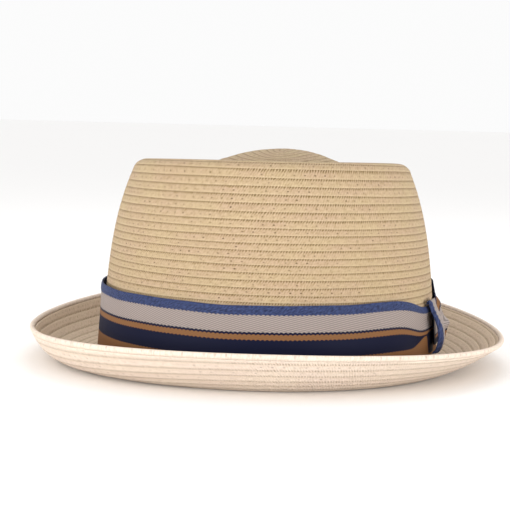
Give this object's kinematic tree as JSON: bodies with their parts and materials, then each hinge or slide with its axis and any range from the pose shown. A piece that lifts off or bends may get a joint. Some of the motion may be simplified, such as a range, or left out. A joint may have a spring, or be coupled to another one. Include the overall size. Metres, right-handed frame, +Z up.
{
  "type": "porkpie hat",
  "caption": "Straw porkpie hat: tapered crown with a gutter and low dome on top, narrow brim turned up all round, striped ribbon band and side bow.",
  "frame": {"origin": "on the floor, below the centre of the hat's bounding box", "axes": "+Z up; -Y is the hat's front; +X is the wearer's left, where the bow is"},
  "size_m": [0.235, 0.2711, 0.1046],
  "materials": {
    "straw": "matte sewn straw braid",
    "ribbon": "striped twill ribbon, slight sheen"
  },
  "bodies": {
    "root": {"straw_body": "straw", "ribbon_band": "ribbon", "bow_knot": "ribbon", "bow_tail": "ribbon"}
  },
  "joints": []
}
